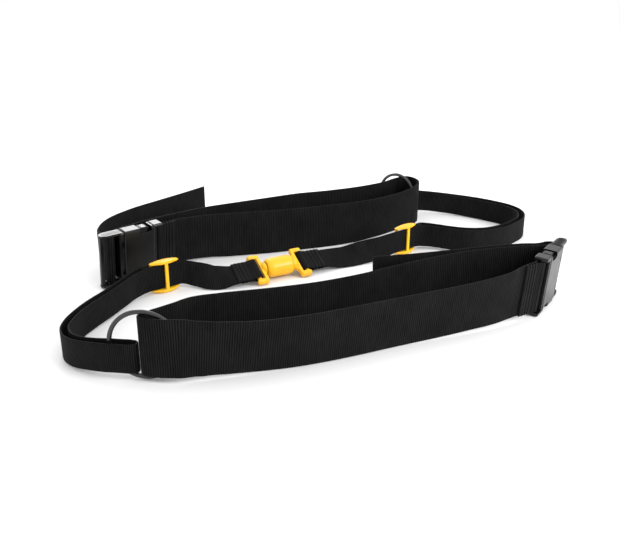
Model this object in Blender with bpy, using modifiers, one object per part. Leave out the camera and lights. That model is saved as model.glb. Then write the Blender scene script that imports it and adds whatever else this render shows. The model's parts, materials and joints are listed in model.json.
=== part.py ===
"""Partner agility belt: two webbing waist belts joined by a leash with a breakaway coupler.

Metres, +Z up. The belts stand on edge on the floor. +X runs along the belts, -Y is the front.
Routes are lists of plan points in millimetres, chosen by hand along each strap.
"""
import math

import bmesh
import bpy
from mathutils import Matrix, Vector, geometry

MM = 0.001
GAP = 0.0003                # air kept between neighbouring pieces
PLAN_CENTRE = (11.5, -24.0)  # plan point, in mm, that stands over the world origin

# webbing
BELT_WIDTH = 0.050
BELT_THICK = 0.0018
LEASH_WIDTH = 0.025
LEASH_THICK = 0.0016
EDGE_ROOM = 0.0006          # slot room past each edge of a strap

# rings
RING_BORE = 0.0515
RING_WIRE = 0.0038

# side-release buckle: x runs from the web bar to the ladder, z across the strap
BUCKLE_WIDTH = 0.0562
BUCKLE_THICK = 0.014
FEMALE_LENGTH = 0.0435
LADDER_LENGTH = 0.0247
POCKET_START = 0.0125
POCKET_HALF = (0.0046, 0.0250)
WINDOW_END = 0.0265
BAR_RADIUS = 0.002
WEB_BAR_X = 0.0022
MIDDLE_BAR_X = FEMALE_LENGTH + 0.0125
PRONG_ROOT = (FEMALE_LENGTH + 0.0008, 0.015)
PRONG_THICK = 0.0078

# slider
SLIDER_LENGTH = 0.031
SLIDER_RAIL = 0.0034
SLIDER_DEPTH = 0.0088
SLIDER_END_BAR = (0.0128, -0.0034)
SLIDER_CENTRE_BAR = (0.0, 0.0029)
SLIDER_BAR = (0.0036, 0.0022)
SLIDER_FLAT = 0.30              # share of each rail's half length that isn't tapered in front

# coupler: x runs along its axis, z along its cross bars
BARREL_RADIUS = 0.0102
BARREL_LENGTH = 0.0290
BORE_RADIUS = 0.0060
BORE_DEPTH = 0.0245
FRONT_LOOP_X = 0.0258           # cross bar of each half, from the barrel's middle
REAR_LOOP_X = 0.0280
LOOP_WINDOW = 0.0070            # cross bar to frame bar, centre to centre
LOOP_BAR_RADIUS = 0.0023
LOOP_END = 0.0048               # each loop end, along the cross bar
LOOP_HALF_DEPTH = 0.0032
BALL_RADIUS = 0.0043
PIN_RADIUS = 0.0025

# places: plan x, plan y in mm, height of the centre, heading and lean in degrees
FRONT_RING = (-203.0, -190.0, -27.0)
REAR_RING = (161.0, 117.5, -66.0)
FRONT_SWING = (0.0, 0.0)       # where each belt swings on its ring, along and across the ring
REAR_SWING = (0.022, -0.004)
FRONT_BUCKLE = (149.5, -194.0, 37.0, 4.0)
REAR_BUCKLE = (-152.0, 32.0, 202.0, -6.0)
FRONT_WEB_TURN = -19.0         # how far each belt's sewn end turns on its web bar
REAR_WEB_TURN = 4.0
FRONT_SLIDER = (-156.0, -19.0, 197.0)
REAR_SLIDER = (116.0, 0.0, 200.0)
COUPLER = (-40.0, -20.4, 0.0120, 8.0, -62.0)

for leftover in list(bpy.data.objects):
    bpy.data.objects.remove(leftover, do_unlink=True)

BELT = bpy.data.collections.new("partner_agility_belt")
CUTTERS = bpy.data.collections.new("cutters")
for collection in (BELT, CUTTERS):
    bpy.context.scene.collection.children.link(collection)


def material(name, colour, roughness, metallic=0.0):
    """A Principled material from an sRGB hex colour."""
    channels = [int(colour[i:i + 2], 16) / 255 for i in (0, 2, 4)]
    linear = [c / 12.92 if c < 0.04045 else ((c + 0.055) / 1.055) ** 2.4 for c in channels]
    made = bpy.data.materials.new(name)
    made.use_nodes = True
    shader = made.node_tree.nodes["Principled BSDF"]
    shader.inputs["Base Color"].default_value = (*linear, 1.0)
    shader.inputs["Roughness"].default_value = roughness
    shader.inputs["Metallic"].default_value = metallic
    return made


def plan(x, y, z=0.0):
    """World point over a plan point in mm, at a height in metres."""
    return Vector(((x - PLAN_CENTRE[0]) * MM, (y - PLAN_CENTRE[1]) * MM, z))


def frame(x, y, z, heading, lean=0.0):
    """Frame with x along a heading; a positive lean tips its z towards its own -y."""
    turn = Matrix.Rotation(math.radians(heading), 4, "Z")
    return Matrix.Translation(plan(x, y, z)) @ turn @ Matrix.Rotation(math.radians(lean), 4, "X")


def anchor(name, world, parent=None):
    """An empty that holds a frame, under its parent."""
    holder = bpy.data.objects.new(name, None)
    BELT.objects.link(holder)
    holder.empty_display_size = 0.01
    holder["world"] = [value for row in world for value in row]
    if parent:
        holder.parent = parent
        holder.matrix_local = world_of(parent).inverted() @ world
    else:
        holder.matrix_local = world
    return holder


def world_of(holder):
    """The world frame an anchor was given."""
    values = list(holder["world"])
    return Matrix([values[i:i + 4] for i in range(0, 16, 4)])


def place(obj, holder, collection=BELT):
    """Moves an object from the active collection under its anchor."""
    for old in list(obj.users_collection):
        old.objects.unlink(obj)
    collection.objects.link(obj)
    obj.parent = holder
    return obj


def soften(obj, width, segments=2):
    """Rounds the edges of a shape whose scale is already in its mesh."""
    bevel = obj.modifiers.new("round", "BEVEL")
    bevel.width = width
    bevel.segments = segments
    bevel.limit_method = "ANGLE"
    return obj


def block(low, high, holder, width=0.0, segments=2):
    """A box between two corners of the holder's frame."""
    bpy.ops.mesh.primitive_cube_add(size=1)
    obj = bpy.context.active_object
    low, high = Vector(low), Vector(high)
    obj.data.transform(Matrix.Translation((low + high) / 2) @ Matrix.Diagonal((*(high - low), 1)))
    if width:
        soften(obj, width, segments)
    return place(obj, holder)


def rod(radius, start, end, holder, sides=20, far_radius=None):
    """A round bar, or a cone with a far radius, between two points of the holder's frame."""
    start, end = Vector(start), Vector(end)
    bpy.ops.mesh.primitive_cone_add(vertices=sides, radius1=radius,
                                    radius2=radius if far_radius is None else far_radius,
                                    depth=(end - start).length)
    obj = bpy.context.active_object
    turn = Vector((0, 0, 1)).rotation_difference(end - start).to_matrix().to_4x4()
    obj.data.transform(Matrix.Translation((start + end) / 2) @ turn)
    return place(obj, holder)


def settled(obj):
    """A closed mesh object from a curve or a modifier stack: doubles welded, faces out."""
    BELT.objects.link(obj)
    bpy.context.view_layer.update()
    mesh = bpy.data.meshes.new_from_object(obj.evaluated_get(bpy.context.evaluated_depsgraph_get()))
    bpy.data.objects.remove(obj)
    weld = bmesh.new()
    weld.from_mesh(mesh)
    bmesh.ops.remove_doubles(weld, verts=weld.verts, dist=0.00001)
    bmesh.ops.recalc_face_normals(weld, faces=weld.faces)
    weld.to_mesh(mesh)
    weld.free()
    return mesh


def turned(profile, holder, sides=32):
    """Turns a profile of (x, radius) points about the holder's x axis; one off the axis is closed."""
    mesh = bpy.data.meshes.new("profile")
    edges = [(i, i + 1) for i in range(len(profile) - 1)]
    if profile[0][1] > 0:
        edges.append((len(profile) - 1, 0))
    mesh.from_pydata([(x, r, 0) for x, r in profile], edges, [])
    spun = bpy.data.objects.new("profile", mesh)
    screw = spun.modifiers.new("turn", "SCREW")
    screw.axis = "X"
    screw.steps = sides
    screw.render_steps = sides
    screw.use_merge_vertices = True
    screw.merge_threshold = 0.00001
    obj = bpy.data.objects.new("turned", settled(spun))
    return place(obj, holder)


def plate(outline, low, high, holder, across="Y"):
    """A flat outline given thickness along Y from points (x, z), or along Z from (x, y)."""
    curve = bpy.data.curves.new("outline", "CURVE")
    curve.dimensions = "2D"
    curve.fill_mode = "BOTH"
    curve.extrude = (high - low) / 2
    spline = curve.splines.new("POLY")
    spline.points.add(len(outline) - 1)
    for point, (a, b) in zip(spline.points, outline):
        point.co = (a, b, 0, 1)
    spline.use_cyclic_u = True
    mesh = settled(bpy.data.objects.new("outline", curve))
    if across == "Y":
        turn = Matrix.Rotation(math.radians(90), 4, "X")
        mesh.transform(Matrix.Translation((0, (low + high) / 2, 0)) @ turn)
    else:
        mesh.transform(Matrix.Translation((0, 0, (low + high) / 2)))
    return place(bpy.data.objects.new("plate", mesh), holder)


def combine(body, others, operation="UNION"):
    """Adds the other shapes to a body, or cuts them out of it."""
    for other in others:
        change = body.modifiers.new(operation.lower(), "BOOLEAN")
        change.operation = operation
        change.solver = "EXACT"
        change.object = other
        place(other, other.parent, CUTTERS)
        other.name = "cutter"
        other.hide_render = True
        other.display_type = "WIRE"
    return body


def cut(body, others):
    return combine(body, others, "DIFFERENCE")


def name_node(obj, name, surface):
    """Gives a finished sub-part its name, its own material and smooth shading between its edges."""
    obj.name = name
    obj.data.name = name
    obj.data.shade_smooth()
    obj.data.set_sharp_from_angle(angle=math.radians(35))
    obj.data.materials.clear()
    obj.data.materials.append(surface)
    return obj


def ring(holder, name, surface):
    """A welded ring that stands on the floor with its axis along the holder's y."""
    bpy.ops.mesh.primitive_torus_add(major_segments=56, minor_segments=12,
                                     major_radius=(RING_BORE + RING_WIRE) / 2, minor_radius=RING_WIRE / 2)
    obj = bpy.context.active_object
    obj.data.transform(Matrix.Rotation(math.radians(90), 4, "X"))
    return name_node(place(obj, holder), name, surface)


def buckle_female(holder, name, surface):
    """The socket half: web bar in a flanged frame, then a flat box with a side window at each edge."""
    half, thick = BUCKLE_WIDTH / 2, BUCKLE_THICK / 2
    edge = BELT_WIDTH / 2 + EDGE_ROOM
    body = block((POCKET_START - 0.0035, -thick, -half), (FEMALE_LENGTH, thick, half), holder, 0.0020, 3)
    flange = block((-0.0005, -thick * 0.93, -half - 0.0006), (POCKET_START - 0.0015, thick * 0.93, half + 0.0006),
                   holder, 0.0014, 2)
    combine(body, [flange])
    clear = block((-0.002, -thick * 2, -edge), (POCKET_START - 0.0050, thick * 2, edge), holder)
    bar = rod(BAR_RADIUS, (WEB_BAR_X, 0, -edge - 0.001), (WEB_BAR_X, 0, edge + 0.001), holder, 16)
    pocket = block((POCKET_START, -POCKET_HALF[0], -POCKET_HALF[1]),
                   (FEMALE_LENGTH + 0.002, POCKET_HALF[0], POCKET_HALF[1]), holder)
    mouth = block((FEMALE_LENGTH - 0.0012, -POCKET_HALF[0] - 0.0008, -POCKET_HALF[1] - 0.0008),
                  (FEMALE_LENGTH + 0.004, POCKET_HALF[0] + 0.0008, POCKET_HALF[1] + 0.0008), holder)
    windows = []
    for side in (-1, 1):
        low, high = sorted((side * 0.0225, side * (half + 0.004)))
        window = block((POCKET_START + 0.0004, -thick * 2, low), (WINDOW_END, thick * 2, high), holder, 0.0022, 3)
        windows.append(window)
    cut(body, [clear, pocket, mouth] + windows)
    combine(body, [bar])
    return name_node(body, name, surface)


def buckle_male(holder, name, surface):
    """The plug half: shoulder, ladder of three bars between two rails, and a centre tongue."""
    half, edge = BUCKLE_WIDTH / 2, BELT_WIDTH / 2 + EDGE_ROOM
    start = FEMALE_LENGTH + GAP
    end = FEMALE_LENGTH + LADDER_LENGTH
    body = block((start, -0.0062, -half + 0.0004), (start + 0.0046, 0.0062, half - 0.0004), holder, 0.0012)
    outline = [(start + 0.002, -0.0050), (end - 0.006, -0.0050), (end - 0.0018, -0.0036), (end, -0.0014),
               (end, 0.0014), (end - 0.0018, 0.0036), (end - 0.006, 0.0050), (start + 0.002, 0.0050)]
    rails = []
    for side in (-1, 1):
        low, high = sorted((side * edge, side * (half - 0.0002)))
        rails.append(plate(outline, low, high, holder, across="Z"))
    end_bar = block((end - 0.0046, -0.0022, -edge - 0.001), (end - 0.0004, 0.0022, edge + 0.001), holder, 0.0010)
    middle = rod(BAR_RADIUS, (MIDDLE_BAR_X, 0, -edge - 0.001), (MIDDLE_BAR_X, 0, edge + 0.001), holder, 16)
    tongue = block((0.0185, -0.0036, -0.0045), (start + 0.002, 0.0036, 0.0045), holder, 0.0012)
    combine(body, rails + [end_bar, middle, tongue])
    seats = [rod(0.0024 + GAP, (PRONG_ROOT[0], -0.010, side * PRONG_ROOT[1]),
                 (PRONG_ROOT[0], 0.010, side * PRONG_ROOT[1]), holder, 24) for side in (-1, 1)]
    cut(body, seats)
    return name_node(body, name, surface)


def prong(holder, side, name, surface):
    """A springy arm with a rounded button; its holder stands on the arm's root."""
    root_x, root_z = PRONG_ROOT
    arm = [(root_x - 0.0023, 0.0129), (0.0300, 0.0155), (0.0210, 0.0198), (0.0160, 0.0232), (0.0146, 0.0252),
           (0.0152, 0.0268), (0.0176, 0.0278), (0.0225, 0.0278), (0.0260, 0.0270), (0.0262, 0.0240),
           (0.0280, 0.0217), (0.0360, 0.0192), (root_x - 0.0022, 0.0172)]
    points = [(x - root_x, side * (z - root_z)) for x, z in arm]
    body = plate(points, -PRONG_THICK / 2, PRONG_THICK / 2, holder)
    soften(body, 0.0007)
    root = rod(0.0024, (0, -PRONG_THICK / 2 + 0.0002, 0), (0, PRONG_THICK / 2 - 0.0002, 0), holder, 20)
    combine(body, [root])
    return name_node(body, name, surface)


def slider(holder, name, surface):
    """A three-bar slider: crowned top and bottom rails joined by two end bars and a centre bar."""
    slot = LEASH_WIDTH / 2 + EDGE_ROOM
    half, depth = SLIDER_LENGTH / 2, SLIDER_DEPTH / 2
    steps = [i / 12 for i in range(13)]
    crown = [(half * (1 - 2 * t), slot + SLIDER_RAIL - 0.0022 * (1 - 2 * t) ** 2) for t in steps]
    rails = []
    for side in (-1, 1):
        outline = [(-half, side * slot), (half, side * slot)] + [(x, side * z) for x, z in crown]
        rails.append(plate(outline, -depth, depth, holder))
    taper = []
    for side in (-1, 1):
        a, b = sorted((side * half * SLIDER_FLAT, side * half * 1.8))
        cutter = block((a, depth, -0.03), (b, depth * 3, 0.03), holder)
        pivot = Matrix.Translation((side * half * SLIDER_FLAT, depth, 0))
        cutter.data.transform(pivot @ Matrix.Rotation(math.radians(-24 * side), 4, "Z") @ pivot.inverted())
        taper.append(cutter)
    bars = []
    for x, y in ((-SLIDER_END_BAR[0], SLIDER_END_BAR[1]), SLIDER_CENTRE_BAR, SLIDER_END_BAR):
        long, deep = SLIDER_BAR[0] / 2, SLIDER_BAR[1] / 2
        bars.append(block((x - long, y - deep, -slot - 0.001), (x + long, y + deep, slot + 0.001), holder, 0.0008))
    body = combine(rails[0], [rails[1]] + bars)
    return name_node(body, name, surface), taper


def coupler_loop(holder, side, loop_x):
    """Strap loop of one coupler half: cross bar, a rounded end at each side, a frame bar and a gusset."""
    bar_x, inner_x = side * loop_x, side * (loop_x - LOOP_WINDOW)
    arm = LEASH_WIDTH / 2 + EDGE_ROOM + 0.0004
    middle = arm + LOOP_END / 2
    shapes = [rod(LOOP_BAR_RADIUS, (bar_x, 0, -middle), (bar_x, 0, middle), holder, 16)]
    for end in (-1, 1):
        low, high = sorted((end * arm, end * (arm + LOOP_END)))
        a, b = sorted((bar_x + side * (LOOP_BAR_RADIUS + 0.0012), inner_x - side * 0.0018))
        shapes.append(block((a, -LOOP_HALF_DEPTH, low), (b, LOOP_HALF_DEPTH, high), holder, 0.0018, 3))
    a, b = sorted((inner_x - side * 0.0018, inner_x + side * 0.0018))
    shapes.append(block((a, -0.0026, -arm - 0.001), (b, 0.0026, arm + 0.001), holder, 0.0009))
    tip = side * (BARREL_LENGTH / 2 + 0.0009)
    for end in (-1, 1):
        gusset = [(tip, end * 0.0036), (inner_x, end * 0.0036), (inner_x, end * arm), (tip, end * 0.0058)]
        shapes.append(plate(gusset, -0.0019, 0.0019, holder))
    return shapes


def coupler(world, front_holder, barrel_holder, rear_holder, surfaces):
    """The breakaway coupler: a plug with a ball stud, a barrel with a snap collar, a swivel pin."""
    half = BARREL_LENGTH / 2
    stem, ball_x = 0.0031, -0.0040
    root = -FRONT_LOOP_X + LOOP_WINDOW
    neck = [(root, 0.0), (root, 0.0042), (-half - 0.0026, 0.0060), (-half - 0.0012, 0.0066),
            (-half - 0.0004, 0.0060), (-half - 0.0004, stem)]
    start = math.pi - math.asin(stem / BALL_RADIUS)
    arc = [start * (1 - i / 9) for i in range(10)]
    neck += [(ball_x + BALL_RADIUS * math.cos(a), BALL_RADIUS * math.sin(a)) for a in arc[:-1]]
    neck.append((ball_x + BALL_RADIUS, 0.0))
    plug = turned(neck, front_holder)
    combine(plug, coupler_loop(front_holder, -1, FRONT_LOOP_X))
    name_node(plug, "front_coupler_fitting", surfaces["yellow"])

    floor = -half + BORE_DEPTH
    barrel = turned([(-half + 0.0062, BARREL_RADIUS), (half - 0.0046, BARREL_RADIUS),
                     (half - 0.0018, BARREL_RADIUS - 0.0008), (half, BARREL_RADIUS - 0.0026),
                     (half, PIN_RADIUS + GAP), (floor, PIN_RADIUS + GAP), (floor, BORE_RADIUS),
                     (-half + 0.0012, BORE_RADIUS), (-half, BORE_RADIUS + 0.0008), (-half, BARREL_RADIUS - 0.0026),
                     (-half + 0.0010, BARREL_RADIUS - 0.0016)],
                    barrel_holder)
    name_node(barrel, "coupler_barrel", surfaces["yellow"])

    outer = BORE_RADIUS - GAP
    clip = turned([(-0.0120, outer), (-0.0010, outer), (-0.0010, 0.0050), (-0.0072, 0.0050), (-0.0080, 0.0038),
                   (-0.0092, 0.0038), (-0.0120, 0.0050)], barrel_holder, 24)
    slit = block((-0.013, -0.0006, 0.0), (0.0, 0.0006, 0.008), barrel_holder)
    cut(clip, [slit])
    name_node(clip, "coupler_clip", surfaces["steel"])

    hub_start = half + GAP
    hub_end = REAR_LOOP_X - LOOP_WINDOW
    pin_end = hub_end - 0.0022
    hub = turned([(hub_end, 0.0), (hub_end, 0.0046), (hub_end - 0.0020, 0.0062), (hub_start + 0.0014, 0.0076),
                  (hub_start, 0.0076), (hub_start, PIN_RADIUS + GAP), (pin_end, PIN_RADIUS + GAP), (pin_end, 0.0)],
                 rear_holder)
    combine(hub, coupler_loop(rear_holder, 1, REAR_LOOP_X))
    name_node(hub, "rear_coupler_fitting", surfaces["yellow"])

    pin = turned([(floor - 0.0031, 0.0), (floor - 0.0031, 0.0036), (floor - 0.0024, 0.0044), (floor - GAP, 0.0044),
                  (floor - GAP, PIN_RADIUS), (pin_end - GAP, PIN_RADIUS), (pin_end - GAP, 0.0)], rear_holder, 24)
    name_node(pin, "coupler_swivel_pin", surfaces["steel"])


def on_edge(points, width, thick):
    """Stations of a strap on edge, from (x mm, y mm, lift mm, lean): a lean tips its top to the front."""
    stations = []
    for x, y, lift, lean in points:
        angle = math.radians(lean)
        up = Vector((0, -math.sin(angle), math.cos(angle)))
        height = lift * MM + width / 2 * math.cos(angle) + thick / 2 * abs(math.sin(angle))
        stations.append((plan(x, y, height), up))
    return stations


def in_frame(world, points):
    """Stations of a strap in a frame, from (x mm, y mm), with its width along the frame's z."""
    up = world.to_3x3() @ Vector((0, 0, 1))
    return [(world @ Vector((x * MM, y * MM, 0)), up) for x, y in points]


def fold(bar_x, bar_radius, thick, sewn, away, side):
    """Points in mm of a strap end folded round a bar, from its cut end, which lies on the given side."""
    radius = (bar_radius + GAP + thick / 2) / MM
    apart = (thick + GAP) / 2 / MM
    bar, sewn = bar_x / MM, sewn / MM
    half = [(away * sewn, apart), (away * sewn * 0.62, apart), (away * radius * 2.7, apart * 1.1),
            (away * radius * 1.55, radius * 0.62)]
    turns = [math.radians(a) for a in range(125, -126, -25)]
    arc = [(-away * radius * math.cos(a), radius * math.sin(a)) for a in turns]
    back = [(x, -y) for x, y in reversed(half)]
    return [(bar + x, side * y) for x, y in half + arc + back]


def ladder_weave(inner):
    """Points in mm of a belt through the ladder: in by one slot, over the middle bar, out by the other."""
    bar, radius = MIDDLE_BAR_X / MM, (BAR_RADIUS + GAP + BELT_THICK / 2) / MM
    arrive = [(bar - 10.5, 10.6), (bar - 6.2, 6.8), (bar - 3.9, 3.2)]
    over = [(bar + radius * math.cos(math.radians(a)), radius * math.sin(math.radians(a)))
            for a in range(180, 361, 30)]
    return [(x, inner * y) for x, y in arrive + over]


def slider_loop(loop_side):
    """Points in mm of the strap end round a slider's end bar, arriving behind and ending in front."""
    bar_x, bar_y = (value / MM for value in SLIDER_END_BAR)
    half_x, half_y = (value / MM / 2 for value in SLIDER_BAR)
    off = (GAP + LEASH_THICK / 2) / MM
    behind, front, turn = bar_y - half_y - off, bar_y + half_y + off, bar_x - half_x - off
    points = [(27.0, -4.2), (20.0, -4.6), (bar_x + 1.2, behind), (bar_x - 0.6, behind), (turn + 0.55, bar_y - 1.65),
              (turn, bar_y), (turn + 0.55, bar_y + 1.65), (bar_x - 0.6, front), (bar_x + 2.2, front),
              (20.0, front - 0.05), (25.0, front - 0.1)]
    return [(loop_side * x, y) for x, y in points]


def smooth(stations, pieces=16):
    """Samples a smooth path through stations as Bezier spans with handles a third of each span."""
    places = [at for at, up in stations]
    ways = []
    for i, at in enumerate(places):
        before = at - places[i - 1] if i else places[1] - at
        after = places[i + 1] - at if i + 1 < len(places) else before
        ways.append((before.normalized() * after.length + after.normalized() * before.length).normalized())
    samples = []
    for i in range(len(places) - 1):
        reach = (places[i + 1] - places[i]).length / 3
        span = geometry.interpolate_bezier(places[i], places[i] + ways[i] * reach,
                                           places[i + 1] - ways[i + 1] * reach, places[i + 1], pieces + 1)
        for k, at in enumerate(span[:-1]):
            t = k / pieces
            samples.append((at, stations[i][1].lerp(stations[i + 1][1], t * t * (3 - 2 * t))))
    samples.append(stations[-1])
    return samples


def thin_out(samples, longest=0.010, turn=math.radians(9)):
    """Keeps the samples that a bend or a twist needs, and one at least every longest metres."""
    kept = [samples[0]]
    way = (samples[1][0] - samples[0][0]).normalized()
    for before, here, after in zip(samples, samples[1:], samples[2:]):
        heading = (after[0] - here[0]).normalized()
        bent = way.angle(heading, 0) + kept[-1][1].angle(here[1], 0) * 1.5
        if (after[0] - kept[-1][0]).length > longest or bent > turn:
            kept.append(here)
            way = heading
    return kept + [samples[-1]]


def webbing(stations, width, thick, holder, name, surface):
    """A strap: a plane grid laid along the path, its width along each station's up, then thickened."""
    path = thin_out(smooth(stations))
    spans = len(path) - 1
    bpy.ops.mesh.primitive_grid_add(x_subdivisions=spans, y_subdivisions=1, size=1)
    obj = bpy.context.active_object
    to_local = world_of(holder).inverted()
    for vertex in obj.data.vertices:
        i = round((vertex.co.x + 0.5) * spans)
        side = 1 if vertex.co.y > 0 else -1
        along = (path[min(i + 1, spans)][0] - path[max(i - 1, 0)][0]).normalized()
        up = path[i][1] - along * path[i][1].dot(along)
        vertex.co = to_local @ (path[i][0] + up.normalized() * side * width / 2)
    shell = obj.modifiers.new("thickness", "SOLIDIFY")
    shell.thickness = thick
    shell.offset = 0
    shell.use_even_offset = True
    return name_node(place(obj, holder), name, surface)


def buckle_frame(spot):
    """Frame of a buckle on its edge, raised to clear the floor at its lean."""
    x, y, heading, lean = spot
    tilt = abs(math.radians(lean))
    height = (BUCKLE_WIDTH / 2 + 0.0006) * math.cos(tilt) + BUCKLE_THICK / 2 * math.sin(tilt) + GAP
    return frame(x, y, height, heading, lean)


RING_HEIGHT = RING_BORE / 2 + RING_WIRE + GAP
SLIDER_HEIGHT = LEASH_WIDTH / 2 + EDGE_ROOM + SLIDER_RAIL + GAP
LEASH_AT_RING = 6.3 * MM + LEASH_WIDTH / 2
SEWN_BELT = 0.0215
SEWN_LEASH = 0.0230


def on_web_bar(world, turn):
    """Frame on a buckle's web bar, turned about the bar by degrees."""
    return world @ Matrix.Translation((WEB_BAR_X, 0, 0)) @ Matrix.Rotation(math.radians(turn), 4, "Z")


def belt(prefix, spot, web_turn, leash_holder, swing, routes, inner, surfaces):
    """One waist belt, which swings on its ring: webbing, buckle halves and prongs, each on its own anchor."""
    world = buckle_frame(spot)
    hinge = anchor(prefix + "_belt_hinge", Matrix.Translation(swing), leash_holder)
    female = anchor(prefix + "_buckle_frame", world, hinge)
    male = anchor(prefix + "_buckle_slide", world, female)
    buckle_female(female, prefix + "_buckle_female", surfaces["black"])
    buckle_male(male, prefix + "_buckle_male", surfaces["black"])
    for side, end in ((1, "upper"), (-1, "lower")):
        root = world @ Matrix.Translation((PRONG_ROOT[0], 0, side * PRONG_ROOT[1]))
        holder = anchor(prefix + "_prong_" + end + "_root", root, male)
        prong(holder, side, prefix + "_prong_" + end, surfaces["black"])
    stations = in_frame(on_web_bar(world, web_turn), fold(0.0, BAR_RADIUS, BELT_THICK, SEWN_BELT, -1, -inner))
    stations += on_edge(routes["front"], BELT_WIDTH, BELT_THICK)
    stations += routes["ring"]
    stations += on_edge(routes["back"], BELT_WIDTH, BELT_THICK)
    stations += in_frame(world, ladder_weave(inner))
    stations += in_frame(world @ Matrix.Translation((MIDDLE_BAR_X, 0, 0)), routes["turn"])
    stations += on_edge(routes["tail"], BELT_WIDTH, BELT_THICK)
    webbing(stations, BELT_WIDTH, BELT_THICK, hinge, prefix + "_belt_strap", surfaces["webbing"])


def leash(prefix, coupler_world, side, loop_x, slider_world, loop_side, routes, holder, surfaces):
    """One leash half: from the coupler through the slider, round the ring and back to the slider."""
    ends = fold(side * loop_x, LOOP_BAR_RADIUS, LEASH_THICK, SEWN_LEASH, side, -1)
    through = [(-loop_side * x, SLIDER_END_BAR[1] / MM + 4.1) for x in (16.5, 8, 0, -8, -16.5)]
    stations = in_frame(coupler_world, ends)
    stations += on_edge(routes["out"], LEASH_WIDTH, LEASH_THICK)
    stations += in_frame(slider_world, through)
    stations += on_edge(routes["main"], LEASH_WIDTH, LEASH_THICK)
    stations += routes["ring"]
    stations += on_edge(routes["return"], LEASH_WIDTH, LEASH_THICK)
    stations += in_frame(slider_world, slider_loop(loop_side))
    webbing(stations, LEASH_WIDTH, LEASH_THICK, holder, prefix + "_leash_strap", surfaces["webbing"])
    slide = anchor(prefix + "_slider_slide", slider_world, holder)
    body, taper = slider(slide, prefix + "_slider", surfaces["yellow"])
    cut(body, taper)


SURFACES = {
    "webbing": material("webbing", "1b1b1d", 0.85),
    "black": material("black_plastic", "141415", 0.38),
    "yellow": material("yellow_plastic", "ffd02a", 0.42),
    "steel": material("coated_steel", "161617", 0.35, 0.6),
}

COUPLER_WORLD = frame(*COUPLER)
ROOT = anchor("rear_leash", COUPLER_WORLD)
SPIN = anchor("barrel_spin", COUPLER_WORLD, ROOT)
RELEASE = anchor("front_leash", COUPLER_WORLD, ROOT)
coupler(COUPLER_WORLD, RELEASE, SPIN, ROOT, SURFACES)

front_ring_world = frame(FRONT_RING[0], FRONT_RING[1], RING_HEIGHT, FRONT_RING[2])
rear_ring_world = frame(REAR_RING[0], REAR_RING[1], RING_HEIGHT, REAR_RING[2])
FRONT_RING_HOLDER = anchor("front_ring_axis", front_ring_world, RELEASE)
REAR_RING_HOLDER = anchor("rear_ring_axis", rear_ring_world, ROOT)
ring(FRONT_RING_HOLDER, "front_ring", SURFACES["steel"])
ring(REAR_RING_HOLDER, "rear_ring", SURFACES["steel"])

FRONT_BELT_ROUTES = {
    "front": [(112, -204, 4.0, 8), (70, -209, 2.4, 10), (35, -210.5, 1.2, 10), (0, -212, 0.4, 10),
              (-41, -215.5, 0.3, 10), (-84, -217.5, 0.5, 11), (-124, -216, 1.8, 12), (-150, -213, 3.2, 10),
              (-165, -210.5, 4.0, 6)],
    "ring": in_frame(front_ring_world, [(30, -4.4), (20, -5.6), (10, -5.9), (3, -5.3), (-1.6, -3.3), (-2.9, 0),
                                        (-2, 3.6), (1, 7.5), (6, 13), (16, 24.5)]),
    "back": [(-161, -167, 4.3, 0), (-136, -164.5, 3.4, 0), (-100, -163.5, 1.6, 0), (-48, -162, 0.3, 0),
             (-10, -158, 0.3, 0), (30, -150.5, 0.8, 0), (64, -146.5, 1.8, 0), (110, -146, 3.6, 0),
             (148, -150.5, 4.5, 2)],
    "turn": [(3.7, 3.5), (2.9, 8.2), (-1.1, 12.6), (-8.0, 15.6)],
    "tail": [(160, -146.5, 4.5, 2), (130, -140.5, 3.5, 0), (89, -134, 2.0, 0), (50, -127.5, 0.8, 0),
             (20, -122, 0.3, 0)],
}
front_swing = front_ring_world @ Vector((*FRONT_SWING, 0))
belt("front", FRONT_BUCKLE, FRONT_WEB_TURN, RELEASE, front_swing, FRONT_BELT_ROUTES, 1, SURFACES)

REAR_BELT_ROUTES = {
    "front": [(-119, 47, 4.3, 7), (-97, 50.5, 3.4, 5), (-72, 50.5, 2.2, 1), (-30, 49, 0.9, 1),
              (8, 48.5, 0.3, 3), (45, 48.5, 0.3, 2), (75, 50.5, 0.3, 4), (105, 56.5, 0.9, 8),
              (135, 66, 2.0, 10), (157, 74.5, 3.2, 7), (170.5, 83, 4.0, 3), (177.8, 94, 4.4, 0),
              (179.2, 107, 4.6, 0), (175.5, 117.5, 4.6, 0)],
    "ring": in_frame(rear_ring_world, [(0.9, 7.5), (1, 0), (1, -9)]),
    "back": [(139, 106.5, 4.2, 0), (112, 101.5, 3.0, 0), (65, 102.5, 1.0, 0), (24, 105, 0.3, 0),
             (-12, 100, 0.3, 0), (-48, 93, 0.8, 0), (-92, 82, 2.1, 1), (-124, 69.5, 3.3, 4),
             (-146, 59, 4.2, 6), (-162, 50.5, 4.8, 6), (-177, 41, 5.2, 6)],
    "turn": [(3.5, -3.5), (3.9, -8.5)],
    "tail": [(-212.5, 27, 5.4, 5), (-209.5, 44, 4.8, 3), (-198.5, 70, 3.4, 0), (-170, 104, 1.7, 0),
             (-133, 132, 0.7, 0), (-101, 154, 0.3, 0), (-72, 174, 0.3, 0)],
}
rear_swing = rear_ring_world @ Vector((*REAR_SWING, 0))
belt("rear", REAR_BUCKLE, REAR_WEB_TURN, ROOT, rear_swing, REAR_BELT_ROUTES, -1, SURFACES)

front_low = frame(FRONT_RING[0], FRONT_RING[1], LEASH_AT_RING, FRONT_RING[2])
rear_low = frame(REAR_RING[0], REAR_RING[1], LEASH_AT_RING, REAR_RING[2])

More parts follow.
